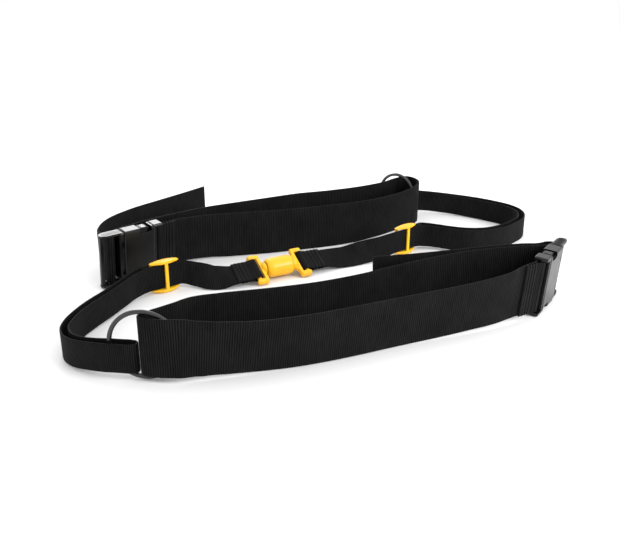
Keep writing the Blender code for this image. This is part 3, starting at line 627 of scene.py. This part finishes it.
def puckered(path, sewn, side):
    """Offset along a sewn fold: each layer stands up between its rows of stitches."""
    def offset(s):
        lift = np.zeros_like(s)
        for rows in seam(path, sewn):
            phase = (s - rows[0]) / (rows[-1] - rows[0]) * (len(rows) - 1)
            lift += np.where((s > rows[0]) & (s < rows[-1]), np.abs(np.sin(np.pi * phase)), 0.0)
        return side * PUCKER * lift
    return offset


print("rows of stitches in each layer of a fold", ROWS_OF_STITCHES)

# %% [markdown]
# Each belt's path starts at the cut end of the sewn fold and ends at the tip of the tail. It is cut into the three
# stretches at two of its stations.

# %% Make the belts
seams = []
for prefix, inner, ring in (("front", 1, front_ring), ("rear", -1, rear_ring)):
    routes, place = BELT_ROUTES[prefix], buckle_frame(prefix)
    web_bar = place @ Matrix.Translation((WEB_BAR_X, 0, 0)) @ Matrix.Rotation(math.radians(WEB_TURN[prefix]), 4, "Z")
    middle_bar = place @ Matrix.Translation((MIDDLE_BAR_X, 0, 0))
    sewn = in_frame(web_bar, fold(BAR_RADIUS, BELT_THICK, SEWN_BELT, -1, -inner))
    band = on_edge(routes["front"], BELT_WIDTH, BELT_THICK) + in_frame(ring, routes["ring"])
    back = on_edge(routes["back"], BELT_WIDTH, BELT_THICK)
    weave = in_frame(middle_bar, ladder_weave(inner) + routes["turn"])
    tail = on_edge(routes["tail"], BELT_WIDTH, BELT_THICK)
    path = smooth_path(sewn + band + back + weave + tail)
    to_back = path["station_s"][len(sewn) + len(band) + 1]
    to_plug = path["station_s"][len(sewn) + len(band) + len(back)]
    belt_body, plug_body = prefix + "_belt", prefix + "_buckle_male"
    sizes = (BELT_WIDTH, BELT_THICK, BELT_RIB, belt_webbing)
    band_piece = tape(prefix + "_belt_band", path, 0.0, to_back, *sizes, belt_body,
                      puckered(path, SEWN_BELT, outer_side(path, web_bar)))
    seams.append((prefix + "_belt_stitches", path, SEWN_BELT, outer_side(path, web_bar), BELT_WIDTH, BELT_THICK,
                  belt_body))
    near, far = path["at"][np.searchsorted(path["s"], to_back)], path["at"][np.searchsorted(path["s"], to_plug)]
    back_piece = tape(prefix + "_belt_back", path, to_back, to_plug, *sizes, (belt_body, plug_body, near, far))
    tail_piece = tape(prefix + "_belt_tail", path, to_plug, path["s"][-1], *sizes, plug_body)
    for piece in (band_piece, back_piece, tail_piece):
        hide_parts(prefix + "_belt_strap")
    print(prefix, "belt webbing", round(path["s"][-1], 3), "m")

# %% [markdown]
# ## The leash
# Each half is sewn to the coupler, runs through its slider, round its ring and back to the slider's end bar. The
# slider moves along the tape; the last stretch before it stays where it is, on no body, and the small loop rides on
# the slider itself.

# %% Leash routes
LEASH_ROUTES = {
    "front": {
        "out": [(-108, -27, 0.3, -36), (-125, -21.5, 2.4, -12)],
        "main": [(-186, -33, 3.4, 0), (-199, -48, 2.8, 0), (-214, -65, 1.8, 0), (-232, -84, 0.8, 0),
                 (-243, -98, 0.4, 0), (-250.5, -112, 0.3, 0), (-255, -126, 0.5, 0), (-254.5, -138, 1.1, 0),
                 (-250, -149.5, 2.1, 0), (-243, -158.5, 3.4, 0), (-235, -166, 4.8, 0)],
        "ring": [(-28, 4.6), (-20, 4.6), (-11, 4.5), (-6.6, 3.1), (-5.3, 0), (-6.6, -3.1), (-11, -4.5),
                 (-20, -4.6), (-28, -4.6)],
        "return": [(-238, -174.5, 5.2, 0), (-246, -166, 3.8, 0), (-254, -156, 2.3, 0), (-260, -143, 1.1, 0),
                   (-261.5, -128, 0.5, 0), (-257, -111, 0.3, 0), (-249, -96, 0.4, 0), (-238, -81, 0.9, 0),
                   (-219, -61, 1.8, 0), (-203, -43, 2.8, 0), (-191, -29.5, 3.4, 0)],
    },
    "rear": {
        "out": [(36, -11.5, 0.3, -48), (58, -13, 0.8, -26), (80, -12.5, 2.6, -8)],
        "main": [(142, 3.5, 3.7, 0), (153, -4, 3.2, 0), (166, -14.5, 2.5, 0), (182, -24, 1.7, 0),
                 (202, -27, 0.9, 0), (226, -23, 0.3, 0), (250, -12, 0.3, 0), (268, 0, 0.3, 0),
                 (279, 14, 0.3, 0), (285, 32, 0.3, 0), (284, 50, 0.3, 0), (276, 70, 0.3, 0), (262, 90, 0.8, 0),
                 (240, 111, 1.8, 0), (215, 129, 3.2, 0), (195, 139, 4.4, 0), (176, 147, 5.4, 0)],
        "ring": [(-31, 13), (-34, 5.5), (-33.5, 0), (-31, -3.6), (-24, -5), (-14, -5.2), (-6, -4.4),
                 (-2.4, -2.2), (-1.6, 0), (-1.7, 3), (-2.6, 8)],
        "return": [(180, 127, 5.2, 0), (200, 129.5, 4.2, 0), (225, 116.5, 2.4, 0), (250, 92, 0.9, 0),
                   (267, 66, 0.3, 0), (276.5, 46, 0.3, 0), (276.5, 27, 0.3, 0), (268, 10, 0.3, 0),
                   (251, -3, 0.3, 0), (227, -14, 0.4, 0), (203, -18.5, 1.0, 0), (185, -15, 1.8, 0),
                   (170, -6.5, 2.5, 0), (157, 4, 3.2, 0), (148, 10.5, 3.7, 0)],
    },
}
THROUGH_STEPS = (16.5, 8, 0, -8, -16.5)     # along the slider, in mm
THROUGH_OFF = 4.1               # from the end bars to the strand that runs through, in mm
BLEND_LENGTH = 0.060            # a length of the returning strand, back from its loop
print("points in the routes", {prefix: sum(map(len, routes.values())) for prefix, routes in LEASH_ROUTES.items()})

# %% [markdown]
# The leash is made the same way. Its path starts at the coupler's cross bar and ends at the slider's end bar.

# %% Make the leash
for prefix, side, loop_side, ring in (("front", -1, 1, front_ring), ("rear", 1, -1, rear_ring)):
    routes, slider_place = LEASH_ROUTES[prefix], slider_frame(prefix)
    low_ring = ring.copy()
    low_ring.translation.z = LEASH_AT_RING
    loop_bar = coupler_frame @ Matrix.Translation((side * LOOP_BAR_X[prefix], 0, 0))
    sewn = in_frame(loop_bar, fold(LOOP_BAR_RADIUS, LEASH_THICK, SEWN_LEASH, side, -1))
    out = on_edge(routes["out"], LEASH_WIDTH, LEASH_THICK)
    through = in_frame(slider_place, [(-loop_side * x, SLIDER_END_BAR[1] / MM + THROUGH_OFF)
                                      for x in THROUGH_STEPS])
    main = on_edge(routes["main"], LEASH_WIDTH, LEASH_THICK) + in_frame(low_ring, routes["ring"])
    back = on_edge(routes["return"], LEASH_WIDTH, LEASH_THICK)
    loop = in_frame(slider_place, slider_loop(loop_side))
    path = smooth_path(sewn + out + through + main + back + loop)
    before = len(sewn + out + through + main)
    to_back = path["station_s"][before + 2]
    to_loop = path["station_s"][before + len(back) + 1]
    body, slider_body = prefix + "_leash", prefix + "_slider"
    sizes = (LEASH_WIDTH, LEASH_THICK, LEASH_RIB, leash_webbing)
    main_piece = tape(prefix + "_leash_main", path, 0.0, to_back, *sizes, body,
                      puckered(path, SEWN_LEASH, outer_side(path, loop_bar)))
    seams.append((prefix + "_leash_stitches", path, SEWN_LEASH, outer_side(path, loop_bar), LEASH_WIDTH,
                  LEASH_THICK, body))
    blend_from = path["at"][np.searchsorted(path["s"], to_loop - BLEND_LENGTH)]
    blend_to = path["at"][np.searchsorted(path["s"], to_loop)]
    return_piece = tape(prefix + "_leash_return", path, to_back, to_loop, *sizes,
                        (body, slider_body, blend_from, blend_to))
    loop_piece = tape(prefix + "_leash_loop", path, to_loop, path["s"][-1], *sizes, slider_body)
    for piece in (main_piece, return_piece, loop_piece):
        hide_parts(prefix + "_leash_strap")
    print(prefix, "leash webbing", round(path["s"][-1], 3), "m")

# %% [markdown]
# ## Stitches and grip ridges
# Rows of stitches hold each fold, and fine ridges stand on the edges of the buckles where fingers press. Both are
# one small rounded bar repeated many times, so one Geometry Nodes group makes them: it reads the points and two
# directions stored on them, puts a bar on each, and makes the result real.

# %% A group for small bars


def small_bars_tree():
    """Group: an ellipsoid bar on each point, its length along "way" and its height along "out"."""
    tree = bpy.data.node_groups.new("small_bars", "GeometryNodeTree")
    tree.interface.new_socket("Geometry", in_out="INPUT", socket_type="NodeSocketGeometry")
    for label in ("Length", "Width", "Height"):
        tree.interface.new_socket(label, in_out="INPUT", socket_type="NodeSocketFloat")
    tree.interface.new_socket("Material", in_out="INPUT", socket_type="NodeSocketMaterial")
    tree.interface.new_socket("Geometry", in_out="OUTPUT", socket_type="NodeSocketGeometry")
    given = add_node(tree, "NodeGroupInput").outputs
    size = add_node(tree, "ShaderNodeCombineXYZ", X=given["Width"], Y=given["Height"], Z=given["Length"])
    ball = add_node(tree, "GeometryNodeMeshUVSphere", Segments=8, Rings=6, Radius=0.5)
    bar = add_node(tree, "GeometryNodeTransform", Geometry=ball.outputs["Mesh"], Scale=size.outputs[0])
    way, out = [add_node(tree, "GeometryNodeInputNamedAttribute", {"data_type": "FLOAT_VECTOR"},
                         Name=name).outputs["Attribute"] for name in ("way", "out")]
    along = add_node(tree, "FunctionNodeAlignRotationToVector", {"axis": "Z"}, Vector=way)
    turn = add_node(tree, "FunctionNodeAlignRotationToVector", {"axis": "Y", "pivot_axis": "Z"},
                    Rotation=along.outputs["Rotation"], Vector=out)
    spread = add_node(tree, "GeometryNodeInstanceOnPoints", Points=given["Geometry"],
                      Instance=bar.outputs["Geometry"], Rotation=turn.outputs["Rotation"])
    real = add_node(tree, "GeometryNodeRealizeInstances", Geometry=spread.outputs["Instances"])
    painted = add_node(tree, "GeometryNodeSetMaterial", Geometry=real.outputs["Geometry"], Material=given["Material"])
    add_node(tree, "NodeGroupOutput", Geometry=painted.outputs["Geometry"])
    return tree


SMALL_BARS = small_bars_tree()
print("nodes in the group", len(SMALL_BARS.nodes))

# %% [markdown]
# The next function stores the two directions on a set of points, runs the group on them once, and keeps the result
# as a plain mesh. The group's inputs are found by name and set by their identifiers.

# %% Bars on points


def small_bars(name, points, ways, outs, length, width, height, surface, body):
    """A piece made of small bars on points, turned into a plain mesh that rides a body."""
    mesh = bpy.data.meshes.new(name)
    mesh.from_pydata([tuple(point) for point in points], [], [])
    for label, values in (("way", ways), ("out", outs)):
        mesh.attributes.new(label, "FLOAT_VECTOR", "POINT").data.foreach_set("vector", np.array(values).ravel())
    piece = bpy.data.objects.new(name, mesh)
    bpy.context.scene.collection.objects.link(piece)
    repeat = piece.modifiers.new("repeat", "NODES")
    repeat.node_group = SMALL_BARS
    wanted = {"Length": length, "Width": width, "Height": height, "Material": surface}
    for item in SMALL_BARS.interface.items_tree:
        if item.in_out == "INPUT" and item.name in wanted:
            repeat[item.identifier] = wanted[item.name]
    bpy.context.view_layer.update()
    plain = bpy.data.meshes.new_from_object(piece.evaluated_get(bpy.context.evaluated_depsgraph_get()))
    piece.modifiers.clear()
    piece.data = plain
    plain.shade_smooth()
    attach(piece, body)
    print(name, len(points), "bars,", len(plain.polygons), "faces")
    return piece


# %% [markdown]
# A bar tack is many short stitches side by side across the tape. Each stitch is a bar 1.9 mm long that lies on the
# outer face of the fold, at the rows where the webbing is pulled down.

# %% Make the stitches
STITCH_LENGTH, STITCH_WIDTH, STITCH_HEIGHT, STITCH_PITCH = 0.0019, 0.0006, 0.0004, 0.0022
STITCH_EDGES = (0.0022, 0.0020)             # from the webbing's edges to the first and past the last stitch
for name, path, sewn, side, width, thick, body in seams:
    points, ways, outs = [], [], []
    places_across = np.arange(-width / 2 + STITCH_EDGES[0], width / 2 - STITCH_EDGES[1], STITCH_PITCH)
    for s in np.concatenate(seam(path, sewn)):
        at, along, up, out = [value[0] for value in sample(path, np.array([s]))]
        for v in places_across:
            points.append(at + up * v + out * side * (thick / 2 - RIB_RELIEF / 2))
            ways.append(up)
            outs.append(out * side)
    small_bars(name, points, ways, outs, STITCH_LENGTH, STITCH_WIDTH, STITCH_HEIGHT, thread, body)

# %% [markdown]
# The plug of each buckle has fine ridges on both of its edges. They cross the edge at a slant, 1.2 mm apart.

# %% Make the grip ridges
RIDGES, RIDGE_PITCH, RIDGE_TURN = 17, 0.0012, math.radians(24)
RIDGE_LENGTH, RIDGE_WIDTH, RIDGE_SUNK = 0.0094, 0.0007, 0.0003
BUCKLE_HALF = 0.0281            # half the buckle's width, to the edges that carry the ridges
for prefix in ("front", "rear"):
    place = buckle_frame(prefix)
    axes = place.to_3x3()
    way = axes @ Vector((math.sin(RIDGE_TURN), math.cos(RIDGE_TURN), 0))
    points, outs = [], []
    for side in (-1, 1):
        for k in range(RIDGES):
            x = PRONG_ROOT_X + (k + 1) * RIDGE_PITCH
            points.append(place @ Vector((x, 0, side * (BUCKLE_HALF - RIDGE_SUNK))))
            outs.append(axes @ Vector((0, 0, side)))
    small_bars(prefix + "_grip_ridges", points, [way] * len(points), outs, RIDGE_LENGTH, RIDGE_WIDTH,
               RIDGE_WIDTH, black_acetal, prefix + "_buckle_male")

# %% [markdown]
# ## Rings
# A ring is a length of wire bent round and welded, then dipped in black. A torus with many segments is the same
# shape, and it takes the place and the turn of its solid.

# %% Make the rings
RING_WIRE = 0.0038
RING_SEGMENTS, WIRE_SEGMENTS = 128, 28
for prefix, place in (("front", front_ring), ("rear", rear_ring)):
    low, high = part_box(prefix + "_ring")
    bpy.ops.mesh.primitive_torus_add(major_segments=RING_SEGMENTS, minor_segments=WIRE_SEGMENTS,
                                     major_radius=(high.z - low.z - RING_WIRE) / 2, minor_radius=RING_WIRE / 2)
    ring_piece = bpy.context.active_object
    ring_piece.name = prefix + "_ring_wire"
    ring_piece.data.transform(place @ Matrix.Rotation(math.radians(90), 4, "X"))
    ring_piece.data.materials.append(coated_wire)
    ring_piece.data.shade_smooth()
    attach(ring_piece, prefix + "_ring")
    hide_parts(prefix + "_ring")
    print(ring_piece.name, "bore", round((high.z - low.z - 2 * RING_WIRE) * 1000, 1), "mm")

# %% [markdown]
# ## Sliders
# A slider is two crowned rails and three bars. Each rail is a row of rounded sections along its length: the section
# gets lower and shallower towards the ends and closes in a short round nose.

# %% Rails and bars of a slider
SLIDER_HALF, SLIDER_RAIL, SLIDER_DEPTH = 0.0155, 0.0034, 0.0044
SLIDER_CENTRE_BAR = (0.0, 0.0029)
SLIDER_SLOT = LEASH_WIDTH / 2 + 0.0006
SLIDER_FLAT, SLIDER_TAPER = 0.30, math.tan(math.radians(24))
CROWN_DROP, NOSE, NOSE_TIP, BAR_SUNK = 0.0022, 0.0012, 0.08, 0.0008
RAIL_ROWS = 45


def rounded(centre_a, centre_b, half_a, half_b, power=4.5, count=28):
    """Points (a, b) round a rectangle with soft corners."""
    t = np.linspace(0, 2 * np.pi, count, endpoint=False)
    c, s = np.cos(t), np.sin(t)
    return (centre_a + half_a * np.sign(c) * np.abs(c) ** (2 / power),
            centre_b + half_b * np.sign(s) * np.abs(s) ** (2 / power))


def rail_rows(side):
    """Rows of one rail in the slider's frame, at its top (1) or its bottom (-1)."""
    rows = []
    for x in SLIDER_HALF * np.sin(np.linspace(-math.pi / 2, math.pi / 2, RAIL_ROWS)):
        top = SLIDER_SLOT + SLIDER_RAIL - CROWN_DROP * (x / SLIDER_HALF) ** 2
        front = SLIDER_DEPTH - max(0.0, abs(x) - SLIDER_FLAT * SLIDER_HALF) * SLIDER_TAPER
        past = max(0.0, abs(x) - (SLIDER_HALF - NOSE)) / NOSE
        shrink = max(NOSE_TIP, math.sqrt(max(0.0, 1 - past ** 2)))
        y, z = rounded((front - SLIDER_DEPTH) / 2, (SLIDER_SLOT + top) / 2, (front + SLIDER_DEPTH) / 2 * shrink,
                       (top - SLIDER_SLOT) / 2 * shrink)
        rows.append(np.stack([np.full_like(y, x), y, side * z], axis=1))
    return np.array(rows)


def bar_rows(x, y):
    """Rows of one bar across the slot, in the slider's frame."""
    a, b = rounded(x, y, SLIDER_BAR[0] / 2, SLIDER_BAR[1] / 2)
    ends = (-SLIDER_SLOT - BAR_SUNK, SLIDER_SLOT + BAR_SUNK)
    return np.array([np.stack([a, b, np.full_like(a, z)], axis=1) for z in ends])


print("rows in a rail", len(rail_rows(1)))

# %% [markdown]
# The rails and the bars are separate closed shells that run into each other, and together they are one slider. It
# rides the slider's body, and it takes the place of the slider's solid.

# %% Make the sliders
for prefix in ("front", "rear"):
    points, faces = [], []
    shells = [rail_rows(1), rail_rows(-1), bar_rows(*SLIDER_CENTRE_BAR), bar_rows(*SLIDER_END_BAR),
              bar_rows(-SLIDER_END_BAR[0], SLIDER_END_BAR[1])]
    place = np.array(slider_frame(prefix))
    for rows in shells:
        more_points, more_faces = skin(rows @ place[:3, :3].T + place[:3, 3])
        faces += [[corner + len(points) for corner in face] for face in more_faces]
        points += more_points
    piece = finished(prefix + "_slider_moulding", points, faces, yellow_acetal, "yellow_plastic", 40)
    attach(piece, prefix + "_slider")
    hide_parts(prefix + "_slider")
    print(piece.name, len(faces))

# %% [markdown]
# ## Coupler barrel
# The barrel is turned in shape: a profile of distances along the axis and radii, carried round the axis.

# %% Make the barrel
BARREL_HALF, BARREL_RADIUS, BORE_RADIUS, PIN_BORE = 0.0145, 0.0102, 0.0060, 0.0028
BORE_FLOOR = 0.0100
profile = [(-BARREL_HALF, BARREL_RADIUS - 0.0030), (-BARREL_HALF + 0.0004, BARREL_RADIUS - 0.0021),
           (-BARREL_HALF + 0.0016, BARREL_RADIUS - 0.0012), (-BARREL_HALF + 0.0034, BARREL_RADIUS - 0.0005),
           (-BARREL_HALF + 0.0052, BARREL_RADIUS - 0.0001), (-BARREL_HALF + 0.0066, BARREL_RADIUS),
           (BARREL_HALF - 0.0044, BARREL_RADIUS), (BARREL_HALF - 0.0030, BARREL_RADIUS - 0.0002),
           (BARREL_HALF - 0.0014, BARREL_RADIUS - 0.0009), (BARREL_HALF - 0.0004, BARREL_RADIUS - 0.0019),
           (BARREL_HALF, BARREL_RADIUS - 0.0030), (BARREL_HALF, PIN_BORE), (BORE_FLOOR, PIN_BORE),
           (BORE_FLOOR, BORE_RADIUS), (-BARREL_HALF + 0.0012, BORE_RADIUS), (-BARREL_HALF, BORE_RADIUS + 0.0008)]
angles = np.linspace(0, 2 * np.pi, 96, endpoint=False)
rows = np.array([np.stack([np.full_like(angles, x), r * np.cos(angles), r * np.sin(angles)], axis=1)
                 for x, r in profile])
place = np.array(coupler_frame)
barrel = finished("coupler_barrel_moulding", *skin(rows @ place[:3, :3].T + place[:3, 3], wrap=True), yellow_acetal,
                  "yellow_plastic", 40)
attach(barrel, "coupler_barrel")
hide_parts("coupler_barrel")
print("barrel", len(barrel.data.polygons), "faces")

# %% [markdown]
# ## Hard pieces that keep their solids
# A solid whose shape is right only gets its surface.

# %% Surfaces of the solids
for name, node in nodes.items():
    if "buckle" in name or "prong" in name:
        surface = black_acetal
    elif "clip" in name or "pin" in name:
        surface = steel
    elif "slider" in name or "coupler" in name:
        surface = yellow_acetal
    else:
        continue
    node.data.materials.clear()
    node.data.materials.append(surface)
